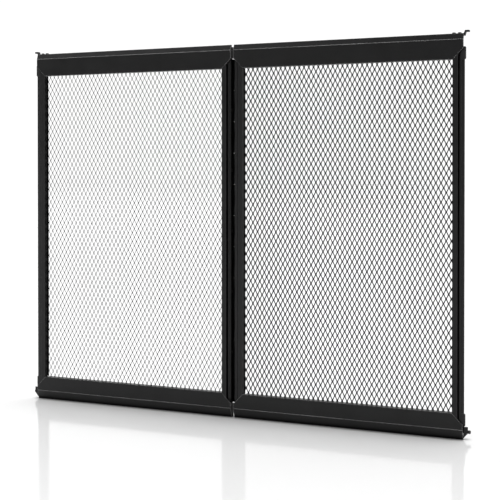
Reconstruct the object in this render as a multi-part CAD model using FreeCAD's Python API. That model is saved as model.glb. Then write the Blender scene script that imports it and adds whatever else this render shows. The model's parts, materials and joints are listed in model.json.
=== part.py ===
"""Two-panel fireplace screen of black painted metal, with an expanded-metal mesh in each panel.

Frame: +X to the right, the front faces -Y, +Z up. The origin is the middle of the box's base.
The left panel is drawn first, and the right panel is its mirror image, except at the hinge.

Names of distances used throughout:
  d  distance inboard from the end of a rail, along X
  y  depth behind the front plane of the faces
  s  distance from the outer (upper or lower) edge of a rail, along Z
"""
import FreeCAD, Part
import math
import os

os.makedirs("parts", exist_ok=True)

# Overall sizes
HEIGHT = 546.0            # bottom edge to the upper edge of the top rails
WIDTH = 696.0             # end to end of the rails, both panels
SEAM = 4.4                # gap between the two panels' rails
DEPTH = 10.0              # front plane to the back of the frame sections
FIT = 0.05                # clearance of screws, rivets and the pins' running fits
SEAT = 0.1                # clearance of parts that slip into a cavity or lie beside another

# Rails: a flat face over a box, with a bevelled flange on the outer side
RAIL_H = 35.0
FLANGE_T = 1.8
BOX_S = 17.5              # the box starts here
TOP_NOSE = 7.8            # height of the top rail's bevel
TOP_BEVEL = 2.4           # how far back that bevel goes
BOTTOM_NOSE = 13.0
BOTTOM_BEVEL = 3.0
LIP_T = 1.6               # thickness of the return lip
TOP_LIP_S = 3.0           # the top rail's return lip lies this far below its edge
LIP_INSET = 4.0           # return lips stop this far from the rail's outer end
CAP_T = 1.2               # wall that closes the rail at the hinge
CAP_END_S = 20.0          # lowest point of that wall
HOLLOW_WALL = 1.4         # walls around the hollow of the rail's box

# Stiles: side wall, set-back bead, groove and flat face
STILE_W = 14.8            # rail end to the opening
SIDE_INSET = 2.8          # rail end to the stile's side wall
BEAD_W = 2.9
BEAD_SETBACK = 2.5
GROOVE_W = 1.7
GROOVE_DEPTH = 4.6

# Rebate for the mesh, and the cavity for the corner keys, in every section
FACE_T = 6.0              # depth of the lip in front of the mesh
REBATE_W = 5.0
KEY_W = 4.2               # corner key's section
KEY_T = 3.0
KEY_AXIS_D = 6.4          # cavity centre, inboard from the rail's end
KEY_AXIS_Y = 7.4
KEY_LEG_STILE = 47.0
KEY_LEG_RAIL = 40.0

# Mesh and the strips that hold it
MESH_T = 1.5
MESH_MARGIN = 0.6         # mesh edge to the rebate's wall
STRIP_W = 10.5
STRIP_T = 1.2
RIB_W = 1.6
RIB_FROM_EDGE = 2.8       # rib to the opening
STRIP_TO_EDGE = 0.4       # strip to the opening
STRIP_SCREW_PITCH = 95.0
STRIP_SCREW_END = 40.0          # least distance from the last screw to the opening's corner, past the key
STRIP_SCREW_FROM_EDGE = 2.8     # screw row to the strip's outer edge
STRIP_SCREW_R = 1.1
STRIP_SCREW_HEAD_R = 1.8
STRIP_SCREW_HEAD_H = 0.8
STRIP_SCREW_LENGTH = 3.4

# Screws and rivets
SCREW_R = 1.4
KEY_SCREW_R = 1.0
SCREW_HEAD_R = 1.9
SCREW_HEAD_H = 0.9
TOP_SCREW_S = 51.0        # side screws, from the upper and lower edges
BOTTOM_SCREW_S = 53.0
RAIL_SCREW_D = 34.0       # screws in the rail backs, from the rail's end

# Side strip and pads of the outer stile
SIDE_OUT = 1.0            # the strip stands this far outside the rail's end
STRIP_Y0 = 2.9            # the strip's and the pads' front, behind the front plane
STRIP_Y1 = 5.2
PAD_OUT = 2.5
PAD_Y1 = 5.8
PAD_S0 = 17.6
PAD_S1 = 34.8
PAD_CHAMFER = 1.0

# Stepped tab at the top outer corner
TAB_Y0 = 4.2
TAB_Y1 = 10.0
TAB_T = 2.6
TAB_STEP = 4.7            # rise from the lower arm to the upper arm
TAB_OUT = 6.5             # reach beyond the rail's end
TAB_IN = 26.0             # reach inboard
TAB_FOOT = 0.4            # where the step starts, outside the rail's end
TAB_LEAN = 1.4            # how far out the step goes as it rises
TAB_RIVET_D = (7.0, 15.0)
TAB_RIVET_HEAD_R = 2.6
TAB_RIVET_HEAD_H = 2.2
RIVET_FOOT_H = 1.0

# Gusset bracket, latch pin, spring and knob at the bottom outer corner
PIN_Y = 7.2
PIN_Z = 10.0
NOSE_R = 2.5
NOSE_OUT = 9.2            # nose beyond the rail's end, at rest
NOSE_CHAMFER = 0.6
NOSE_FOOT = 6.7           # the nose becomes the thinner guide here, beyond the rail's end
GUIDE_R = 2.2
ROD_R = 1.6
SHOULDER_D = 10.0         # the guide becomes the rod here
GUSSET_OUT = 6.5          # reach beyond the rail's end
GUSSET_Y0 = 3.0
GUSSET_T = 1.4
GUSSET_TOP = 17.4
GUSSET_LOW = 8.6          # lower edge of the gusset behind the flange
GUSSET_TOE = 2.2          # lowest point of the sloping edge
GUSSET_TOE_OUT = 0.8      # and its place beyond the rail's end
GUSSET_END_GAP = 0.2      # rail's end to the part of the gusset that reaches lower
EAR_T = 1.6
OUTER_EAR_D = 5.2
INNER_EAR_D = 28.4
BASE_T = 1.4
BRACKET_SCREW_D = (12.0, 22.0)
BRACKET_SCREW_END_Z = 0.3
CLIP_T = 0.8
CLIP_R = 2.7
CLIP_GROOVE = 0.4         # depth of the rod's groove for the clip
CLIP_MOUTH = 1.8
KNOB_R = 3.5
KNOB_L = 6.0
KNOB_D = 34.0
KNOB_END = 1.0            # closed end of the knob, and its plain rims
KNOB_GRIPS = 12
KNOB_GRIP_R = 0.45
SPRING_WIRE_R = 0.35
SPRING_ROOM = 0.2         # spring wire to the rod
SPRING_TURNS = 9

# Continuous hinge behind the seam
HINGE_Y = 12.7
LEAF_T = 1.6
LEAF_Y0 = 3.4
KNUCKLE_R = 3.2
HINGE_PIN_R = 1.2
HINGE_PIN_HEAD_R = 2.0
HINGE_PIN_HEAD_H = 1.0
HINGE_PIN_OVER = 1.2      # pin beyond the end knuckles, heads included
KNUCKLES = 11
KNUCKLE_GAP = 0.3
HINGE_END = 20.5          # hinge to the upper and lower edges
HINGE_RIVETS = 5
HINGE_RIVET_S = 95.0      # first rivet from the edges
HINGE_RIVET_R = 1.2
HINGE_RIVET_HEAD_R = 2.1
HINGE_RIVET_HEAD_H = 0.8
HINGE_RIVET_TAIL_H = 0.8
LEAF_SCREW_ROOM = 0.3     # hole in the leaf to the head of the stile's screw

# Worked out from the sizes above
X_OUT = -WIDTH / 2        # outer end of the left panel's rails
X_IN = -SEAM / 2          # inner end of the left panel's rails
PANEL_W = X_IN - X_OUT
MITRE_S = RAIL_H - STILE_W      # where the mitre meets the rail's end
LEAF_X = SEAM / 2 + SIDE_INSET  # side wall of an inner stile, from the seam's middle
CAVITY_W = KEY_W + 2 * SEAT
CAVITY_T = KEY_T + 2 * SEAT
BACK_OF_MESH = FACE_T + MESH_T
KEY_AXIS_S = RAIL_H - (STILE_W - KEY_AXIS_D)
OPENING_W = PANEL_W - 2 * STILE_W
OPENING_H = HEIGHT - 2 * RAIL_H
X_MID = (X_OUT + X_IN) / 2
STRIP_SCREW_IN = STRIP_TO_EDGE + STRIP_W - STRIP_SCREW_FROM_EDGE    # screw row, from the opening
MIDDLE_Y = (HINGE_Y + KNUCKLE_R) / 2    # the pieces are drawn from the front plane, then centred

V = FreeCAD.Vector


def box(x0, x1, y0, y1, z0, z1):
    return Part.makeBox(x1 - x0, y1 - y0, z1 - z0, V(x0, y0, z0))


def prism(points, direction):
    """Extrude the closed outline through the points along the direction."""
    outline = Part.makePolygon(points + [points[0]])
    return Part.Face(outline).extrude(direction)


def rod(radius, start, direction, length):
    return Part.makeCylinder(radius, length, start, direction)


def joined(shapes):
    result = shapes[0]
    for shape in shapes[1:]:
        result = result.fuse(shape)
    return result.removeSplitter()


def without(shape, cuts):
    for cut in cuts:
        shape = shape.cut(cut)
    return shape


def export(name, *solids):
    shape = solids[0] if len(solids) == 1 else Part.makeCompound(list(solids))
    shape.translated(V(0, -MIDDLE_Y, 0)).exportStep("parts/" + name + ".step")


def mirrored(shape):
    return shape.mirror(V(0, 0, 0), V(1, 0, 0))


class Corner:
    """Turns d and s into X and Z for one corner of the left panel."""

    def __init__(self, outer, top):
        self.outer = outer
        self.top = top
        self.inboard = 1 if outer else -1
        self.inward = -1 if top else 1

    def x(self, d):
        return (X_OUT if self.outer else X_IN) + self.inboard * d

    def z(self, s):
        return (HEIGHT if self.top else 0) + self.inward * s

    def box(self, d0, d1, y0, y1, s0, s1):
        xs = sorted((self.x(d0), self.x(d1)))
        zs = sorted((self.z(s0), self.z(s1)))
        return box(xs[0], xs[1], y0, y1, zs[0], zs[1])

    def outline(self, points, y0, y1):
        """Prism along Y from points given as (d, s)."""
        return prism([V(self.x(d), y0, self.z(s)) for d, s in points], V(0, y1 - y0, 0))


CORNERS = [Corner(outer, top) for outer in (True, False) for top in (True, False)]


# Sections

def rail_section(nose, bevel, lip_s):
    """Outline of a rail as (y, s), from its outer edge to the opening."""
    def flange_back(s):
        return FLANGE_T + bevel * (1 - s / nose)

    points = [(bevel, 0), (0, nose), (0, RAIL_H), (FACE_T, RAIL_H)]
    points += [(FACE_T, RAIL_H - REBATE_W), (DEPTH, RAIL_H - REBATE_W), (DEPTH, BOX_S)]
    points += [(FLANGE_T, BOX_S), (FLANGE_T, nose)]
    points += [(flange_back(lip_s + LIP_T), lip_s + LIP_T)]
    points += [(DEPTH, lip_s + LIP_T), (DEPTH, lip_s)]
    if lip_s > 0:
        points += [(flange_back(lip_s), lip_s), (flange_back(0), 0)]
    return points


def stile_section():
    """Outline of a stile as (d, y)."""
    bead_end = SIDE_INSET + BEAD_W
    face_start = bead_end + GROOVE_W
    points = [(SIDE_INSET, BEAD_SETBACK), (bead_end, BEAD_SETBACK), (bead_end, GROOVE_DEPTH)]
    points += [(face_start, GROOVE_DEPTH), (face_start, 0), (STILE_W, 0), (STILE_W, FACE_T)]
    points += [(STILE_W - REBATE_W, FACE_T), (STILE_W - REBATE_W, DEPTH), (SIDE_INSET, DEPTH)]
    return points


def screw_s(top):
    return TOP_SCREW_S if top else BOTTOM_SCREW_S


# Frame members

def rail(top):
    outer = Corner(True, top)
    inner = Corner(False, top)
    nose, bevel, lip_s = (TOP_NOSE, TOP_BEVEL, TOP_LIP_S) if top else (BOTTOM_NOSE, BOTTOM_BEVEL, 0)
    section = rail_section(nose, bevel, lip_s)
    body = prism([V(X_OUT, y, outer.z(s)) for y, s in section], V(PANEL_W, 0, 0))
    body = joined([body, rail_cap(inner, nose, bevel, lip_s)])
    ends = [(outer.x(0), 0), (outer.x(0), MITRE_S), (outer.x(STILE_W), RAIL_H)]
    ends += [(inner.x(STILE_W), RAIL_H), (inner.x(0), MITRE_S), (inner.x(0), 0)]
    plan = prism([V(x, 0, outer.z(s)) for x, s in ends], V(0, DEPTH, 0))
    cuts = [rail_hollow(outer)]
    cuts.append(outer.box(0, LIP_INSET, FLANGE_T + bevel, DEPTH, 0, BOX_S))
    for corner, s0 in ((outer, BOX_S), (inner, CAP_END_S)):
        cuts.append(corner.box(0, SIDE_INSET, FLANGE_T, DEPTH, s0, RAIL_H))
        cuts.append(rail_screw(corner, FIT))
    cuts += tab_rivet_holes(FIT) if top else bracket_screw_holes(FIT)
    body = without(body.common(plan), cuts)
    return without(body, [key_cavity_rail(top)] + strip_screw_holes("top" if top else "bottom"))


def rail_cap(corner, nose, bevel, lip_s):
    """Wall that closes a rail at the hinge, from its outer edge to the hinge's end."""
    points = [(bevel, 0), (0, nose), (0, CAP_END_S), (DEPTH, CAP_END_S), (DEPTH, lip_s)]
    if lip_s > 0:
        points += [(FLANGE_T + bevel, lip_s), (FLANGE_T + bevel, 0)]
    return prism([V(corner.x(CAP_T), y, corner.z(s)) for y, s in points], V(CAP_T, 0, 0))


def key_cavity_rail(top):
    corner = Corner(True, top)
    return corner.box(SIDE_INSET, PANEL_W - SIDE_INSET,
                      KEY_AXIS_Y - CAVITY_T / 2, KEY_AXIS_Y + CAVITY_T / 2,
                      KEY_AXIS_S - CAVITY_W / 2, KEY_AXIS_S + CAVITY_W / 2)


def rail_hollow(corner):
    """Hollow of the rail's box, beyond the corner keys' cavity."""
    s0 = BOX_S + HOLLOW_WALL
    s1 = KEY_AXIS_S - CAVITY_W / 2 - HOLLOW_WALL
    return corner.box(SIDE_INSET, PANEL_W - SIDE_INSET, FLANGE_T, DEPTH - HOLLOW_WALL, s0, s1)


def stile(outer):
    corner = Corner(outer, False)
    upper = Corner(outer, True)
    body = prism([V(corner.x(d), y, 0) for d, y in stile_section()], V(0, 0, HEIGHT))
    plan = [(corner.x(0), corner.z(MITRE_S)), (corner.x(STILE_W), corner.z(RAIL_H))]
    plan += [(corner.x(STILE_W), upper.z(RAIL_H)), (corner.x(0), upper.z(MITRE_S))]
    body = body.common(prism([V(x, 0, z) for x, z in plan], V(0, DEPTH, 0)))
    cavity = corner.box(KEY_AXIS_D - CAVITY_W / 2, KEY_AXIS_D + CAVITY_W / 2,
                        KEY_AXIS_Y - CAVITY_T / 2, KEY_AXIS_Y + CAVITY_T / 2, 0, HEIGHT)
    cuts = [cavity] + [side_screw(Corner(outer, top), FIT) for top in (True, False)]
    cuts += strip_screw_holes("outer" if outer else "inner")
    if not outer:
        cuts += [hinge_rivet(z, FIT) for z in hinge_rivet_heights()]
    return without(body, cuts)


def corner_key(corner):
    y0 = KEY_AXIS_Y - KEY_T / 2
    y1 = KEY_AXIS_Y + KEY_T / 2
    low_d = KEY_AXIS_D - KEY_W / 2
    low_s = KEY_AXIS_S - KEY_W / 2
    upright = corner.box(low_d, low_d + KEY_W, y0, y1, low_s, low_s + KEY_LEG_STILE)
    level = corner.box(low_d, low_d + KEY_LEG_RAIL, y0, y1, low_s, low_s + KEY_W)
    return without(joined([upright, level]), [side_screw(corner, FIT), rail_screw(corner, FIT)])


# Screws of the corner keys

def side_screw(corner, grow=0.0):
    """Screw through the stile's side wall into the corner key."""
    s = screw_s(corner.top)
    direction = V(-corner.inboard, 0, 0)
    tip = KEY_AXIS_D + KEY_W / 2
    shank = rod(KEY_SCREW_R + grow, V(corner.x(tip), KEY_AXIS_Y, corner.z(s)), direction, tip - SIDE_INSET)
    if grow:
        return shank
    head = rod(SCREW_HEAD_R, V(corner.x(SIDE_INSET), KEY_AXIS_Y, corner.z(s)), direction, SCREW_HEAD_H)
    return joined([shank, head])


def rail_screw(corner, grow=0.0):
    """Screw through the rail's back into the corner key."""
    place = V(corner.x(RAIL_SCREW_D), KEY_AXIS_Y - KEY_T / 2, corner.z(KEY_AXIS_S))
    shank = rod(KEY_SCREW_R + grow, place, V(0, 1, 0), DEPTH - place.y)
    if grow:
        return shank
    head = rod(SCREW_HEAD_R, V(place.x, DEPTH, place.z), V(0, 1, 0), SCREW_HEAD_H)
    return joined([shank, head])


def rail_screw_notch(corner):
    """Room for the screw's head in the strip beside it."""
    place = V(corner.x(RAIL_SCREW_D), DEPTH, corner.z(KEY_AXIS_S))
    return rod(SCREW_HEAD_R + 2 * SEAT, place, V(0, 1, 0), STRIP_T)


# Mesh, and the strips that hold it

def mesh():
    """Outer envelope of the expanded-metal sheet."""
    edge = STILE_W - REBATE_W + MESH_MARGIN
    low = RAIL_H - REBATE_W + MESH_MARGIN
    return box(X_OUT + edge, X_IN - edge, FACE_T, BACK_OF_MESH, low, HEIGHT - low)


def strip_screw_places(length):
    """Distances of a strip's screws from the strip's middle."""
    count = 2 * int((length / 2 - STRIP_SCREW_END) / STRIP_SCREW_PITCH) + 1
    return [(i - (count - 1) / 2) * STRIP_SCREW_PITCH for i in range(count)]


def strip_screw_points(side):
    """Screw places (x, z) of the strip on one side of the opening."""
    if side in ("top", "bottom"):
        s = RAIL_H - STRIP_SCREW_IN
        z = HEIGHT - s if side == "top" else s
        return [(X_MID + offset, z) for offset in strip_screw_places(OPENING_W)]
    x = X_OUT + STILE_W - STRIP_SCREW_IN if side == "outer" else X_IN - STILE_W + STRIP_SCREW_IN
    return [(x, HEIGHT / 2 + offset) for offset in strip_screw_places(OPENING_H)]


def strip_screw(place, grow=0.0):
    x, z = place
    seat = DEPTH + STRIP_T
    shank = rod(STRIP_SCREW_R + grow, V(x, seat - STRIP_SCREW_LENGTH, z), V(0, 1, 0), STRIP_SCREW_LENGTH)
    if grow:
        return shank
    return joined([shank, rod(STRIP_SCREW_HEAD_R, V(x, seat, z), V(0, 1, 0), STRIP_SCREW_HEAD_H)])


def strip_screw_holes(side):
    return [strip_screw(place, FIT) for place in strip_screw_points(side)]


def mesh_strip(side):
    """Flat strip on the frame's back, with a rib that presses on the mesh."""
    level = side in ("top", "bottom")
    corner = Corner(side != "inner", side == "top")
    if level:
        span = STILE_W + STRIP_TO_EDGE
        end = PANEL_W - span
        s1 = RAIL_H - STRIP_TO_EDGE
        rib_s = RAIL_H - RIB_FROM_EDGE
        flat = corner.box(span, end, DEPTH, DEPTH + STRIP_T, s1 - STRIP_W, s1)
        rib = corner.box(span, end, BACK_OF_MESH, DEPTH, rib_s - RIB_W, rib_s)
    else:
        s0 = RAIL_H - STRIP_TO_EDGE + SEAT
        s1 = HEIGHT - s0
        d1 = STILE_W - STRIP_TO_EDGE
        rib_d = STILE_W - RIB_FROM_EDGE
        flat = corner.box(d1 - STRIP_W, d1, DEPTH, DEPTH + STRIP_T, s0, s1)
        rib = corner.box(rib_d - RIB_W, rib_d, BACK_OF_MESH, DEPTH, s0, s1)
    cuts = strip_screw_holes(side)
    if level:
        cuts += [rail_screw_notch(Corner(outer, side == "top")) for outer in (True, False)]
    return without(joined([flat, rib]), cuts)


SIDES = ("top", "bottom", "outer", "inner")


# Side strip and pads

def side_strip():
    """Flat strip along the outer stile's side wall, between the two pads."""
    end = PAD_S1 + SEAT
    return Corner(True, False).box(-SIDE_OUT, SIDE_INSET, STRIP_Y0, STRIP_Y1, end, HEIGHT - end)


def side_pad(top):
    """Pad in line with the side strip, at the end of the rail's box."""
    cut = PAD_CHAMFER
    outline = [(SIDE_INSET, PAD_S0), (-PAD_OUT + cut, PAD_S0), (-PAD_OUT, PAD_S0 + cut)]
    outline += [(-PAD_OUT, PAD_S1 - cut), (-PAD_OUT + cut, PAD_S1), (SIDE_INSET, PAD_S1)]
    return Corner(True, top).outline(outline, STRIP_Y0, PAD_Y1)


# Stepped tab

def tab():
    corner = Corner(True, True)
    low = TOP_LIP_S
    high = TOP_LIP_S - TAB_STEP
    outline = [(TAB_IN, low), (-TAB_FOOT, low), (-TAB_FOOT - TAB_LEAN, high), (-TAB_OUT, high)]
    outline += [(-TAB_OUT, high - TAB_T), (-TAB_FOOT - TAB_LEAN + TAB_T / 3, high - TAB_T)]
    outline += [(-TAB_FOOT + TAB_T / 2, low - TAB_T), (TAB_IN, low - TAB_T)]
    return without(corner.outline(outline, TAB_Y0, TAB_Y1), tab_rivet_holes(FIT))


def tab_rivet(d):
    corner = Corner(True, True)
    middle = (TAB_Y0 + TAB_Y1) / 2
    head_z = corner.z(TOP_LIP_S - TAB_T)
    foot_z = corner.z(TOP_LIP_S + LIP_T)
    foot_start = V(corner.x(d), middle, foot_z - RIVET_FOOT_H)
    shank = rod(SCREW_R, foot_start, V(0, 0, 1), head_z - foot_z + RIVET_FOOT_H)
    foot = rod(SCREW_HEAD_R, foot_start, V(0, 0, 1), RIVET_FOOT_H)
    head = rod(TAB_RIVET_HEAD_R, V(corner.x(d), middle, head_z), V(0, 0, 1), TAB_RIVET_HEAD_H)
    upper_rim = [edge for edge in head.Edges
                 if edge.BoundBox.ZLength < FIT and edge.BoundBox.ZMin > head_z + TAB_RIVET_HEAD_H / 2]
    head = head.makeFillet(TAB_RIVET_HEAD_H / 2, upper_rim)
    return joined([shank, head, foot])


def tab_rivet_holes(grow):
    corner = Corner(True, True)
    middle = (TAB_Y0 + TAB_Y1) / 2
    start = corner.z(TOP_LIP_S + LIP_T)
    length = LIP_T + TAB_T
    return [rod(SCREW_R + grow, V(corner.x(d), middle, start), V(0, 0, 1), length) for d in TAB_RIVET_D]


# Bracket and latch

def bracket():
    corner = Corner(True, False)
    y1 = GUSSET_Y0 + GUSSET_T
    end = INNER_EAR_D + EAR_T
    plate = [(end, GUSSET_LOW), (end, GUSSET_TOP), (-GUSSET_OUT, GUSSET_TOP)]
    plate += [(-GUSSET_OUT, GUSSET_LOW), (-GUSSET_TOE_OUT, GUSSET_TOE)]
    plate += [(-GUSSET_END_GAP, GUSSET_TOE), (-GUSSET_END_GAP, GUSSET_LOW)]
    pieces = [corner.outline(plate, GUSSET_Y0, y1)]
    foot_y = FLANGE_T + BOTTOM_BEVEL - 2 * SEAT
    ear = [(foot_y, LIP_T), (DEPTH, LIP_T), (DEPTH, GUSSET_TOP), (GUSSET_Y0, GUSSET_TOP)]
    ear += [(GUSSET_Y0, GUSSET_LOW), (foot_y, LIP_T + BASE_T)]
    for d in (OUTER_EAR_D, INNER_EAR_D):
        pieces.append(prism([V(corner.x(d), y, z) for y, z in ear], V(EAR_T, 0, 0)))
    pieces.append(box(corner.x(OUTER_EAR_D), corner.x(end), foot_y, DEPTH, LIP_T, LIP_T + BASE_T))
    guide_hole = rod(GUIDE_R + FIT, V(corner.x(OUTER_EAR_D), PIN_Y, PIN_Z), V(1, 0, 0), EAR_T)
    rod_hole = rod(ROD_R + FIT, V(corner.x(INNER_EAR_D), PIN_Y, PIN_Z), V(1, 0, 0), EAR_T)
    return without(joined(pieces), [guide_hole, rod_hole] + bracket_screw_holes(FIT))


def bracket_screw(d):
    top = LIP_T + BASE_T
    start = V(X_OUT + d, PIN_Y, BRACKET_SCREW_END_Z)
    shank = rod(SCREW_R, start, V(0, 0, 1), top - BRACKET_SCREW_END_Z)
    return joined([shank, rod(SCREW_HEAD_R, V(X_OUT + d, PIN_Y, top), V(0, 0, 1), SCREW_HEAD_H)])


def bracket_screw_holes(grow):
    return [rod(SCREW_R + grow, V(X_OUT + d, PIN_Y, 0), V(0, 0, 1), LIP_T + BASE_T)
            for d in BRACKET_SCREW_D]


def latch_pin():
    """Nose that reaches out at the side, then its guide, and a thinner rod with a groove for the clip."""
    axis = V(1, 0, 0)

    def length(radius, x0, x1):
        return rod(radius, V(x0, PIN_Y, PIN_Z), axis, x1 - x0)

    tip = X_OUT - NOSE_OUT
    cone = Part.makeCone(NOSE_R - NOSE_CHAMFER, NOSE_R, NOSE_CHAMFER, V(tip, PIN_Y, PIN_Z), axis)
    nose = length(NOSE_R, tip + NOSE_CHAMFER, X_OUT - NOSE_FOOT)
    guide = length(GUIDE_R, X_OUT - NOSE_FOOT, X_OUT + SHOULDER_D)
    stem = length(ROD_R, X_OUT + SHOULDER_D, X_OUT + KNOB_D + KNOB_L - KNOB_END)
    groove = length(ROD_R, clip_x(), clip_x() + CLIP_T)
    core = length(ROD_R - CLIP_GROOVE, clip_x(), clip_x() + CLIP_T)
    return joined([cone, nose, guide, stem]).cut(groove.cut(core))


def clip_x():
    return X_OUT + INNER_EAR_D + EAR_T + SEAT


def latch_clip():
    ring = rod(CLIP_R, V(clip_x() + FIT, PIN_Y, PIN_Z), V(1, 0, 0), CLIP_T - 2 * FIT)
    hole = rod(ROD_R - CLIP_GROOVE + FIT, V(clip_x(), PIN_Y, PIN_Z), V(1, 0, 0), CLIP_T)
    mouth = box(clip_x(), clip_x() + CLIP_T, PIN_Y - CLIP_MOUTH / 2, PIN_Y + CLIP_MOUTH / 2,
                PIN_Z - CLIP_R, PIN_Z)
    return without(ring, [hole, mouth])


def latch_knob():
    start = V(X_OUT + KNOB_D, PIN_Y, PIN_Z)
    knob = rod(KNOB_R, start, V(1, 0, 0), KNOB_L)
    cuts = [rod(ROD_R + FIT, start, V(1, 0, 0), KNOB_L - KNOB_END)]
    for i in range(KNOB_GRIPS):
        angle = 2 * math.pi * i / KNOB_GRIPS
        place = start + V(KNOB_END, KNOB_R * math.cos(angle), KNOB_R * math.sin(angle))
        cuts.append(rod(KNOB_GRIP_R, place, V(1, 0, 0), KNOB_L - 2 * KNOB_END))
    return without(knob, cuts)


def latch_spring():
    """Compression spring on the rod, between the guide's shoulder and the inner ear."""
    start = X_OUT + SHOULDER_D + SEAT + SPRING_WIRE_R
    length = INNER_EAR_D - SHOULDER_D - 2 * SEAT - 2 * SPRING_WIRE_R
    coil_r = ROD_R + SPRING_WIRE_R + SPRING_ROOM
    path = Part.makeHelix(length / SPRING_TURNS, length, coil_r)
    profile = Part.Wire(Part.makeCircle(SPRING_WIRE_R, V(coil_r, 0, 0), V(0, 1, 0)))
    coil = Part.Wire(path).makePipeShell([profile], True, True)
    coil.rotate(V(0, 0, 0), V(0, 1, 0), 90)
    coil.translate(V(start, PIN_Y, PIN_Z))
    return coil


# Continuous hinge

def knuckle_span(index):
    pitch = (HEIGHT - 2 * HINGE_END) / KNUCKLES
    return HINGE_END + index * pitch, HINGE_END + (index + 1) * pitch - KNUCKLE_GAP


def hinge_leaf(first):
    """Left-hand leaf with every other knuckle, from the given first one."""
    pieces = [box(-LEAF_X, -LEAF_X + LEAF_T, LEAF_Y0, HINGE_Y, HINGE_END, HEIGHT - HINGE_END)]
    for index in range(first, KNUCKLES, 2):
        z0, z1 = knuckle_span(index)
        pieces.append(box(-LEAF_X, -KNUCKLE_R / 2, HINGE_Y - LEAF_T, HINGE_Y, z0, z1))
        pieces.append(rod(KNUCKLE_R, V(0, HINGE_Y, z0), V(0, 0, 1), z1 - z0))
    cuts = [rod(HINGE_PIN_R + FIT, V(0, HINGE_Y, 0), V(0, 0, 1), HEIGHT)]
    for top in (True, False):
        place = V(-LEAF_X, KEY_AXIS_Y, Corner(False, top).z(screw_s(top)))
        cuts.append(rod(SCREW_HEAD_R + LEAF_SCREW_ROOM, place, V(1, 0, 0), LEAF_T))
    cuts += [hinge_rivet(z, FIT) for z in hinge_rivet_heights()]
    return without(joined(pieces), cuts)


def hinge_rivet_heights():
    step = (HEIGHT - 2 * HINGE_RIVET_S) / (HINGE_RIVETS - 1)
    return [HINGE_RIVET_S + i * step for i in range(HINGE_RIVETS)]


def hinge_rivet(z, grow=0.0):
    """Rivet through the left leaf and the stile's side wall."""
    wall = KEY_AXIS_D - CAVITY_W / 2 - SIDE_INSET
    out = V(1, 0, 0)
    shank = rod(HINGE_RIVET_R + grow, V(-LEAF_X - wall, KEY_AXIS_Y, z), out, wall + LEAF_T)
    if grow:
        return shank
    head = rod(HINGE_RIVET_HEAD_R, V(-LEAF_X + LEAF_T, KEY_AXIS_Y, z), out, HINGE_RIVET_HEAD_H)
    tail_start = V(-LEAF_X - wall - HINGE_RIVET_TAIL_H, KEY_AXIS_Y, z)
    tail = rod(CAVITY_T / 2 - FIT, tail_start, out, HINGE_RIVET_TAIL_H)
    return joined([shank, head, tail])


def hinge_pin():
    z0 = HINGE_END - HINGE_PIN_OVER
    z1 = HEIGHT - HINGE_END + HINGE_PIN_OVER
    core = rod(HINGE_PIN_R, V(0, HINGE_Y, z0), V(0, 0, 1), z1 - z0)
    heads = [rod(HINGE_PIN_HEAD_R, V(0, HINGE_Y, z), V(0, 0, 1), HINGE_PIN_HEAD_H)
             for z in (z0, z1 - HINGE_PIN_HEAD_H)]
    return joined([core] + heads)


# Assembly

def panel_pieces():
    """Every node of one panel, drawn for the left side."""
    pieces = {
        "top_rail": [rail(True)],
        "bottom_rail": [rail(False)],
        "outer_stile": [stile(True)],
        "inner_stile": [stile(False)],
        "mesh": [mesh()],
        "corner_keys": [corner_key(corner) for corner in CORNERS],
        "key_screws": [side_screw(corner) for corner in CORNERS],
        "rail_screws": [rail_screw(corner) for corner in CORNERS],
        "side_strip": [side_strip()],
        "side_pads": [side_pad(True), side_pad(False)],
        "top_tab": [tab()],
        "tab_rivets": [tab_rivet(d) for d in TAB_RIVET_D],
        "bracket": [bracket()],
        "bracket_screws": [bracket_screw(d) for d in BRACKET_SCREW_D],
        "latch_pin": [latch_pin()],
        "latch_clip": [latch_clip()],
        "latch_knob": [latch_knob()],
        "latch_spring": [latch_spring()],
        "hinge_rivets": [hinge_rivet(z) for z in hinge_rivet_heights()],
        "strip_screws": [strip_screw(place) for side in SIDES for place in strip_screw_points(side)],
    }
    for side in SIDES:
        pieces["mesh_strip_" + side] = [mesh_strip(side)]
    return pieces


for name, solids in panel_pieces().items():
    export("left_" + name, *solids)
    export("right_" + name, *[mirrored(solid) for solid in solids])
export("left_hinge_leaf", hinge_leaf(0))
export("right_hinge_leaf", mirrored(hinge_leaf(1)))
export("hinge_pin", hinge_pin())
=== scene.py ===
"""Two-panel fireplace screen: finish, expanded-metal mesh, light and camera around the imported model."""
import bpy
import bmesh
import json
import math
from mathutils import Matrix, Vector

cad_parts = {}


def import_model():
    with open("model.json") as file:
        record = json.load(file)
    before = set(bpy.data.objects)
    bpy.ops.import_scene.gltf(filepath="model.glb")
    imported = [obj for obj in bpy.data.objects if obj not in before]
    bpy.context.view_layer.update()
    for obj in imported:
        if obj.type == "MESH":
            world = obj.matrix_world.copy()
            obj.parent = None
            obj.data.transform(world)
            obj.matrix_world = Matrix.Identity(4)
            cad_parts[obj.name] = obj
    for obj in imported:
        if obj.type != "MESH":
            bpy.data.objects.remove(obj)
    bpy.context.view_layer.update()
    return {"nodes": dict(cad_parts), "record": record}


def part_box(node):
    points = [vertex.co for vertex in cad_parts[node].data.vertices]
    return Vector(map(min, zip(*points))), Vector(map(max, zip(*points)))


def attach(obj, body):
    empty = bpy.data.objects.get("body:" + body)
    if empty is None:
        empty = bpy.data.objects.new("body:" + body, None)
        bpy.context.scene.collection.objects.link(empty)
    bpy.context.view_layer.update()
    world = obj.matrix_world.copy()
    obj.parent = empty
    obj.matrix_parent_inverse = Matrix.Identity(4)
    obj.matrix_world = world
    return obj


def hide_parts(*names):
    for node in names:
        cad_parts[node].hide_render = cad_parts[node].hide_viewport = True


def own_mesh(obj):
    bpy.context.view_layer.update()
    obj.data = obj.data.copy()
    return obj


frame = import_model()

MM = 0.001
SIDES = ("left", "right")

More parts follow.
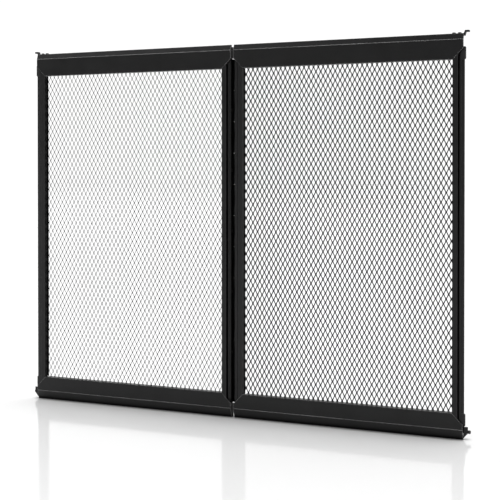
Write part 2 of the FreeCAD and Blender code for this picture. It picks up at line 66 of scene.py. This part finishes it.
# Colours, linear
BLACK = (0.0075, 0.0075, 0.0078)
# Edge colour of the coat: partly rubbed wear, partly a painted highlight along the edges
EDGE_WEAR_AND_HIGHLIGHT = (0.06, 0.06, 0.061)
# Painted highlight along the shallow folds of the rails
FOLD_PAINTED_HIGHLIGHT = (0.6, 0.6, 0.602)
# Painted shade in narrow crevices
CREVICE_PAINTED_SHADE = (0.002, 0.002, 0.002)
MESH_BLACK = (0.004, 0.004, 0.0042)
OXIDE_BLACK = (0.014, 0.0138, 0.014)
# Edge colour of the blackened steel: partly rubbed wear, partly a painted highlight along the edges
OXIDE_EDGE_WEAR_AND_HIGHLIGHT = (0.12, 0.12, 0.12)
PLASTIC_BLACK = (0.013, 0.013, 0.0135)
MILL_GREY = (0.72, 0.72, 0.73)
FLOOR_OPEN = (0.9, 0.9, 0.9)
# Painted contact shadow on the floor just under the screen
FLOOR_PAINTED_CONTACT_SHADOW = (0.12, 0.12, 0.12)

# Cosines between which an effect fades in
EDGE = (0.9995, 0.988)
FOLD = (0.9998, 0.995)
SQUARE_CORNER = (0.972, 0.984)
SIDEWAYS = (0.95, 0.55)

# Rounding of the CAD nodes' edges
WELD_DISTANCE = 0.001 * MM
EDGE_ANGLE = math.radians(40)
EDGE_SEGMENTS = 2
RAIL_EDGE = 0.55 * MM
PROFILE_EDGE = 0.3 * MM
SMALL_EDGE = 0.12 * MM

# Expanded metal
HALF_DIAMOND_W = 3.7 * MM
DIAMOND_H = 13.0 * MM
STRAND_W = 1.5 * MM
STRAND_T = 0.4 * MM
BOND_H = 1.5 * MM
STRAND_LEAN = math.radians(40)
BOND_SHARE = 0.45          # of the strand's width, from a bond's middle to the strand's centre
BOND_Y = 0.11 * MM         # from the sheet's middle to the strand's centre at a bond

# Surroundings: brightness of the world, and the parts of its direction that it fades over
BACKDROP = 1.06            # just past white
FRONT = 0.18
TOP = 0.2
FRONT_TO_BACK_Y = (-0.1, 0.3)
SIDE_TO_TOP_Z = (0.45, 0.9)
FLOOR_SIZE = 60
OVERHEAD_ANGLE = math.radians(40)

# Camera
CAMERA_PLACE = (0.835, -1.6264, 0.3619)
CAMERA_TILT = math.radians(90 - 0.772)     # from straight down
CAMERA_TURN = math.radians(26.457)
LENS_MM = 89.6
SENSOR_MM = 36
FRAME_SHIFT = -0.1254


# ---------------------------------------------------------------- materials

class Nodes:
    """Short way to add and link the nodes of one material."""

    def __init__(self, name):
        self.material = bpy.data.materials.new(name)
        self.material.use_nodes = True
        self.tree = self.material.node_tree
        self.shader = self.tree.nodes["Principled BSDF"]
        self.place = self.add("ShaderNodeTexCoord").outputs["Object"]

    def add(self, kind, **settings):
        node = self.tree.nodes.new(kind)
        for key, value in settings.items():
            setattr(node, key, value)
        return node

    def link(self, source, target):
        self.tree.links.new(source, target)

    def feed(self, socket, source):
        """Links the source to a socket of the shader."""
        self.link(source, self.shader.inputs[socket])

    def fix(self, socket, value):
        """Sets a socket of the shader to one value."""
        self.shader.inputs[socket].default_value = value

    def noise(self, scale, detail=3.0):
        """Noise with features about 1/scale metres across."""
        node = self.add("ShaderNodeTexNoise")
        node.inputs["Scale"].default_value = scale
        node.inputs["Detail"].default_value = detail
        node.inputs["Roughness"].default_value = 0.5
        self.link(self.place, node.inputs["Vector"])
        return node.outputs["Fac"]

    def ramp(self, source, low, high):
        """Maps the source's range low to high onto 0 to 1."""
        node = self.add("ShaderNodeMapRange")
        node.inputs["From Min"].default_value = low
        node.inputs["From Max"].default_value = high
        self.link(source, node.inputs["Value"])
        return node.outputs["Result"]

    def patches(self, scale, low, high, detail=3.0):
        """Noise whose range low to high is spread over 0 to 1."""
        return self.ramp(self.noise(scale, detail), low, high)

    def between(self, factor, low, high):
        """A number that goes from low to high with the factor."""
        node = self.add("ShaderNodeMapRange")
        node.inputs["To Min"].default_value = low
        node.inputs["To Max"].default_value = high
        self.link(factor, node.inputs["Value"])
        return node.outputs["Result"]

    def mix(self, factor, first, second):
        """A colour that goes from the first to the second with the factor."""
        node = self.add("ShaderNodeMix", data_type="RGBA")
        self.link(factor, node.inputs["Factor"])
        for value, socket in ((first, node.inputs["A"]), (second, node.inputs["B"])):
            if isinstance(value, tuple):
                socket.default_value = (*value, 1.0)
            else:
                self.link(value, socket)
        return node.outputs["Result"]

    def multiply(self, first, second):
        node = self.add("ShaderNodeMath", operation="MULTIPLY")
        self.link(first, node.inputs[0])
        self.link(second, node.inputs[1])
        return node.outputs["Value"]

    def bump(self, height, distance, strength):
        node = self.add("ShaderNodeBump")
        node.inputs["Distance"].default_value = distance
        node.inputs["Strength"].default_value = strength
        self.link(height, node.inputs["Height"])
        return node.outputs["Normal"]

    def openness(self, distance, low, high):
        """0 deep in crevices narrower than the distance, 1 on open faces."""
        shelter = self.add("ShaderNodeAmbientOcclusion", samples=8)
        shelter.inputs["Distance"].default_value = distance
        return self.ramp(shelter.outputs["AO"], low, high)

    def not_sideways(self):
        """0 on faces that look along X, 1 on those that look elsewhere."""
        split = self.add("ShaderNodeSeparateXYZ")
        self.link(self.add("ShaderNodeTexCoord").outputs["Normal"], split.inputs["Vector"])
        along = self.add("ShaderNodeMath", operation="ABSOLUTE")
        self.link(split.outputs["X"], along.inputs[0])
        return self.ramp(along.outputs["Value"], *SIDEWAYS)

    def turning(self, radius):
        """Cosine between the face's normal and that of an edge rounded by the radius."""
        bevel = self.add("ShaderNodeBevel", samples=4)
        bevel.inputs["Radius"].default_value = radius
        dot = self.add("ShaderNodeVectorMath", operation="DOT_PRODUCT")
        self.link(bevel.outputs["Normal"], dot.inputs[0])
        self.link(self.add("ShaderNodeNewGeometry").outputs["True Normal"], dot.inputs[1])
        return dot.outputs["Value"]

    def edges(self, radius):
        """1 on convex and concave edges within the radius, 0 on flat faces."""
        return self.ramp(self.turning(radius), *EDGE)

    def folds(self, radius):
        """1 along shallow folds of the sheet, 0 on flat faces and at square corners."""
        turning = self.turning(radius)
        return self.multiply(self.ramp(turning, *FOLD), self.ramp(turning, *SQUARE_CORNER))


def scaled(colour, share):
    return tuple(share * c for c in colour)


def powder_coat(name, colour, edge_wear_and_highlight, roughness, grain, wear_and_highlight_radius, shine=0.42, fold_radius=None):
    """Satin coat: slow shade changes, pale specks and orange peel.

    With a wear radius its edges are lightened, partly as rubbed wear and partly as a painted highlight, its
    crevices get painted shade, and their and the sideways faces' reflections are dimmed as painted shade;
    with a fold radius the shallow folds get a painted highlight.
    """
    n = Nodes(name)
    coat = n.mix(n.patches(14.0, 0.3, 0.7, detail=4.0), scaled(colour, 0.82), colour)
    specks = n.multiply(n.patches(2600.0, 0.62, 0.78, detail=1.0), n.patches(60.0, 0.35, 0.75))
    coat = n.mix(specks, coat, scaled(colour, 1.5))
    if wear_and_highlight_radius:
        # Edges are lightened in patches, partly as rubbed wear and partly as a painted highlight.
        rubbing_and_highlight = n.between(n.patches(120.0, 0.35, 0.65, detail=5.0), 0.55, 1.0)
        coat = n.mix(n.multiply(n.edges(wear_and_highlight_radius), rubbing_and_highlight), coat, edge_wear_and_highlight)
    if fold_radius:
        # Painted highlight: shallow folds are lightened towards a pale grey, in streaks.
        streaks = n.between(n.patches(25.0, 0.3, 0.7, detail=4.0), 0.55, 1.0)
        coat = n.mix(n.multiply(n.folds(fold_radius), streaks), coat, FOLD_PAINTED_HIGHLIGHT)
    if wear_and_highlight_radius:
        # Painted shade: narrow crevices are darkened towards near black, and the specular level is lowered
        # there and on faces that look along X.
        crevice = n.openness(6 * MM, 0.4, 0.85)
        coat = n.mix(crevice, CREVICE_PAINTED_SHADE, coat)
        exposed = n.multiply(crevice, n.between(n.not_sideways(), 0.15, 1.0))
        n.feed("Specular IOR Level", n.between(exposed, 0.03, shine))
    n.feed("Base Color", coat)
    n.feed("Roughness", n.between(n.patches(45.0, 0.3, 0.7, detail=4.0), roughness - 0.05, roughness + 0.06))
    n.feed("Normal", n.bump(n.noise(grain, detail=2.0), distance=0.06 * MM, strength=0.35))
    n.fix("Specular IOR Level", shine)
    return n.material


def bare_metal(name, colour, roughness, grain):
    """Metal with a fine grain and slow tarnish."""
    n = Nodes(name)
    n.feed("Base Color", n.mix(n.patches(70.0, 0.3, 0.75, detail=4.0), colour, scaled(colour, 0.6)))
    n.feed("Roughness", n.between(n.patches(300.0, 0.3, 0.7), roughness - 0.06, roughness + 0.1))
    n.feed("Normal", n.bump(n.noise(grain, detail=2.0), distance=0.04 * MM, strength=0.3))
    n.fix("Metallic", 1.0)
    return n.material


def moulded_plastic(name, colour, roughness, grain):
    """Fine-textured moulded plastic with lighter scuffs."""
    n = Nodes(name)
    n.feed("Base Color", n.mix(n.patches(220.0, 0.55, 0.8, detail=5.0), colour, scaled(colour, 1.9)))
    n.feed("Roughness", n.between(n.patches(500.0, 0.3, 0.7), roughness - 0.06, roughness + 0.06))
    n.feed("Normal", n.bump(n.noise(grain, detail=2.0), distance=0.08 * MM, strength=0.4))
    return n.material


FRAME_COAT = powder_coat("powder_coat_frame", BLACK, EDGE_WEAR_AND_HIGHLIGHT, roughness=0.4, grain=1500.0,
                         wear_and_highlight_radius=0.5 * MM)
RAIL_COAT = powder_coat("powder_coat_rail", BLACK, EDGE_WEAR_AND_HIGHLIGHT, roughness=0.4, grain=1500.0,
                        wear_and_highlight_radius=0.5 * MM, fold_radius=1.1 * MM)
MESH_COAT = powder_coat("powder_coat_mesh", MESH_BLACK, None, roughness=0.36, grain=1800.0,
                        wear_and_highlight_radius=None, shine=0.3)
OXIDE = powder_coat("black_oxide", OXIDE_BLACK, OXIDE_EDGE_WEAR_AND_HIGHLIGHT, roughness=0.34, grain=2200.0,
                    wear_and_highlight_radius=0.3 * MM)
PLASTIC = moulded_plastic("matte_plastic", PLASTIC_BLACK, roughness=0.55, grain=1800.0)
ALUMINIUM = bare_metal("mill_aluminium", MILL_GREY, roughness=0.38, grain=1400.0)
MATERIALS = {"painted_frame": FRAME_COAT, "painted_mesh": MESH_COAT, "blackened_steel": OXIDE,
             "black_plastic": PLASTIC, "plain_aluminium": ALUMINIUM}


def finish_cad_nodes():
    """Gives every CAD node its finish, and rounds the edges of those that are seen themselves."""
    for part in frame["record"]["subparts"]:
        node = part["node"]
        obj = frame["nodes"][node]
        if not obj.material_slots:
            obj.data.materials.append(None)
        for entry in obj.material_slots:
            entry.material = RAIL_COAT if node.endswith("rail") else MATERIALS[part["material_slot"]]
        if not node.endswith(("_mesh", "latch_spring")):
            round_edges(obj, edge_width(node))


def round_edges(obj, width):
    weld = obj.modifiers.new("weld", "WELD")
    weld.merge_threshold = WELD_DISTANCE
    edge = obj.modifiers.new("edge", "BEVEL")
    edge.width = width
    edge.segments = EDGE_SEGMENTS
    edge.limit_method = "ANGLE"
    edge.angle_limit = EDGE_ANGLE
    edge.harden_normals = True
    edge.use_clamp_overlap = True


def edge_width(node):
    if node.endswith("rail"):
        return RAIL_EDGE
    if node.endswith(("stile", "side_strip", "side_pads", "bracket", "top_tab")):
        return PROFILE_EDGE
    return SMALL_EDGE


# ---------------------------------------------------------------- mesh and springs

def expanded_metal(side):
    """Expanded-metal sheet of upright diamonds: strands zigzag upwards and meet at bonds.

    All strands of a sheet lean the same way about Z, and the two sheets are mirrored.
    """
    name = side + "_expanded_metal"
    node = side + "_mesh"
    low, high = (Vector(corner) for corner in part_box(node))
    columns = round((high.x - low.x) / HALF_DIAMOND_W)
    rows = 2 * round((high.z - low.z) / DIAMOND_H)
    step_x = (high.x - low.x) / columns
    step_z = (high.z - low.z) / rows
    middle_y = (low.y + high.y) / 2
    lean = -STRAND_LEAN if side == "left" else STRAND_LEAN
    half_x = BOND_SHARE * STRAND_W * math.cos(lean)
    half_y = math.copysign(BOND_Y, lean)
    reach = 0.5 * (STRAND_W * math.cos(lean) + STRAND_T * abs(math.sin(lean)))
    bm = bmesh.new()
    for column in range(columns):
        rings = []
        for row in range(rows + 1):
            way = 1 if (column + row) % 2 == 0 else -1
            bond_x = low.x + (column if way == 1 else column + 1) * step_x
            x = min(max(bond_x + way * half_x, low.x + reach), high.x - reach)
            for end in (-0.5, 0.5):
                z = min(max(low.z + row * step_z + end * BOND_H, low.z), high.z)
                rings.append(ring(bm, Vector((x, middle_y + way * half_y, z)), lean))
        strand(bm, rings)
    bmesh.ops.recalc_face_normals(bm, faces=bm.faces)
    data = bpy.data.meshes.new(name)
    bm.to_mesh(data)
    bm.free()
    data.materials.append(MESH_COAT)
    sheet = bpy.data.objects.new(name, data)
    bpy.context.scene.collection.objects.link(sheet)
    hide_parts(node)
    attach(sheet, side + "_panel")


def ring(bm, centre, turn):
    """Four corners of a strand's level section, turned about Z."""
    along = Vector((math.cos(turn), math.sin(turn), 0))
    across = Vector((-math.sin(turn), math.cos(turn), 0))
    corners = []
    for u, v in ((-0.5, -0.5), (0.5, -0.5), (0.5, 0.5), (-0.5, 0.5)):
        corners.append(bm.verts.new(centre + along * (u * STRAND_W) + across * (v * STRAND_T)))
    return corners


def strand(bm, rings):
    """Closed bar through rings of four corners."""
    for lower, upper in zip(rings, rings[1:]):
        for i in range(4):
            j = (i + 1) % 4
            bm.faces.new((lower[i], lower[j], upper[j], upper[i]))
    bm.faces.new(rings[0][::-1])
    bm.faces.new(rings[-1])


def coil(side):
    """The latch spring as a piece of its own, copied from the CAD node and attached to the panel."""
    node = side + "_latch_spring"
    source = frame["nodes"][node]
    piece = bpy.data.objects.new(side + "_coil", source.data.copy())
    piece.matrix_world = source.matrix_world
    bpy.context.scene.collection.objects.link(piece)
    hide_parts(node)
    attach(piece, side + "_panel")
    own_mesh(piece)


# ---------------------------------------------------------------- stage

def floor():
    """Large pale glossy floor, which is darkened just under the screen's lower edge as a painted contact
    shadow.
    """
    bpy.ops.mesh.primitive_plane_add(size=FLOOR_SIZE, location=(0, 0, 0))
    plane = bpy.context.object
    plane.name = "floor"
    n = Nodes("pale_floor")
    # Painted contact shadow: the floor colour darkens where the screen shelters it.
    n.feed("Base Color", n.mix(n.openness(20 * MM, 0.45, 0.85), FLOOR_PAINTED_CONTACT_SHADOW, FLOOR_OPEN))
    n.fix("Roughness", 0.09)
    n.fix("Specular IOR Level", 0.16)
    plane.data.materials.append(n.material)


def world():
    """White behind the screen, dim where its faces look, and white wherever the camera sees it."""
    scene_world = bpy.data.worlds.new("studio")
    scene_world.use_nodes = True
    tree = scene_world.node_tree
    split = tree.nodes.new("ShaderNodeSeparateXYZ")
    tree.links.new(tree.nodes.new("ShaderNodeTexCoord").outputs["Generated"], split.inputs["Vector"])

    def ramp(axis, reach, first, last):
        """Goes from the first to the last value over the reach of the direction's axis."""
        node = tree.nodes.new("ShaderNodeMapRange")
        node.inputs["From Min"].default_value, node.inputs["From Max"].default_value = reach
        node.inputs["To Min"].default_value = first
        node.inputs["To Max"].default_value = last
        tree.links.new(split.outputs[axis], node.inputs["Value"])
        return node.outputs["Result"]

    brighter = tree.nodes.new("ShaderNodeMath")
    brighter.operation = "MAXIMUM"
    tree.links.new(ramp("Y", FRONT_TO_BACK_Y, FRONT, BACKDROP), brighter.inputs[0])
    tree.links.new(ramp("Z", SIDE_TO_TOP_Z, 0.0, TOP), brighter.inputs[1])
    background = tree.nodes["Background"]
    background.inputs["Color"].default_value = (1, 1, 1, 1)
    seen = tree.nodes.new("ShaderNodeMix")
    seen.inputs["B"].default_value = BACKDROP
    tree.links.new(tree.nodes.new("ShaderNodeLightPath").outputs["Is Camera Ray"], seen.inputs["Factor"])
    tree.links.new(brighter.outputs["Value"], seen.inputs["A"])
    tree.links.new(seen.outputs["Result"], background.inputs["Strength"])
    bpy.context.scene.world = scene_world


def area_light(name, place, target, size, power):
    """Rectangular lamp that faces the target."""
    data = bpy.data.lights.new(name, "AREA")
    data.shape = "RECTANGLE"
    data.size, data.size_y = size
    data.energy = power
    lamp = bpy.data.objects.new(name, data)
    lamp.location = place
    aim = Vector(target) - Vector(place)
    lamp.rotation_euler = aim.to_track_quat("-Z", "Y").to_euler()
    bpy.context.scene.collection.objects.link(lamp)


def overhead(power):
    """Soft light straight down, which lights the floor and leaves the faces dark."""
    data = bpy.data.lights.new("overhead", "SUN")
    data.energy = power
    data.angle = OVERHEAD_ANGLE
    bpy.context.scene.collection.objects.link(bpy.data.objects.new("overhead", data))


def camera():
    """Long lens in front and to the right of the screen, less than a degree below level."""
    data = bpy.data.cameras.new("camera")
    data.lens = LENS_MM
    data.sensor_width = SENSOR_MM
    data.shift_y = FRAME_SHIFT
    view = bpy.data.objects.new("camera", data)
    view.location = CAMERA_PLACE
    view.rotation_euler = (CAMERA_TILT, 0, CAMERA_TURN)
    bpy.context.scene.collection.objects.link(view)
    bpy.context.scene.camera = view


finish_cad_nodes()
for side in SIDES:
    expanded_metal(side)
    coil(side)
floor()
world()
overhead(power=2.1)
area_light("key", place=(-1.6, -1.4, 2.2), target=(0, 0, 0.3), size=(1.4, 1.4), power=7)
area_light("side", place=(-1.6, -0.5, 0.15), target=(-0.3, 0, 0.05), size=(0.5, 0.3), power=1.5)
camera()
bpy.context.scene.view_settings.view_transform = "Standard"
